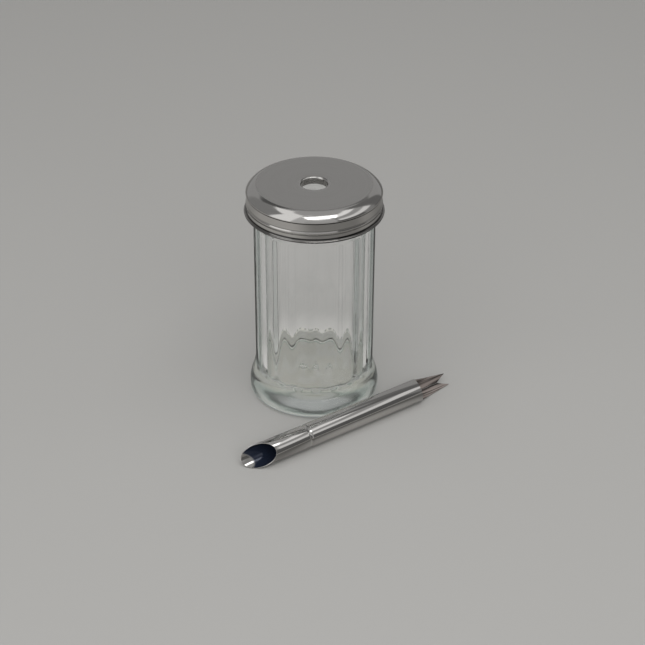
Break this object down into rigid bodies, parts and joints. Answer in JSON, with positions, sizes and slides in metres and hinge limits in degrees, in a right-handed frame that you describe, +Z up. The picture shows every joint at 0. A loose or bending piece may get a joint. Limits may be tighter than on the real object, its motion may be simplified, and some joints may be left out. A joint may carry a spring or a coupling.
{
  "type": "sugar pourer",
  "caption": "Fluted glass sugar jar with a steel screw lid, a liner ring and a separate steel dosing tube with a slanted spout and pronged lower end.",
  "frame": {"origin": "centre of the jar's flat underside, on the jar's axis", "axes": "+Z up the jar's axis towards the lid; +X along the dosing tube, from its slanted spout to its prongs; +Y from the tube towards the jar"},
  "size_m": [0.1442, 0.0951, 0.133],
  "materials": {
    "clear_glass": "clear pressed glass with a faint green-grey tint",
    "lid_steel": "satin top, polished shoulder and collar",
    "liner_plastic": "matt, translucent white",
    "tube_steel": "polished stainless steel with fine lines along its length"
  },
  "bodies": {
    "jar": {"glass_jar": "clear_glass"},
    "liner": {"lid_liner": "liner_plastic"},
    "lid": {"screw_lid": "lid_steel"},
    "tube": {"pour_tube": "tube_steel"}
  },
  "joints": [
    {"name": "lid_lift", "type": "slide", "parent": "jar", "child": "liner", "axis": [0, 0, 1], "range_m": [0, 0.01867]},
    {"name": "lid_turn", "type": "hinge", "parent": "liner", "child": "lid", "pos_m": [0, 0, 0.133], "axis": [0, 0, 1], "range_deg": [0, 480]},
    {"name": "tube_lift", "type": "slide", "parent": "jar", "child": "tube", "axis": [0, 0, 1], "range_m": [0, 0.16]}
  ],
  "couplings": [
    {"joint": "lid_lift", "follows": "lid_turn", "m_per_rad": 0.0022282}
  ]
}
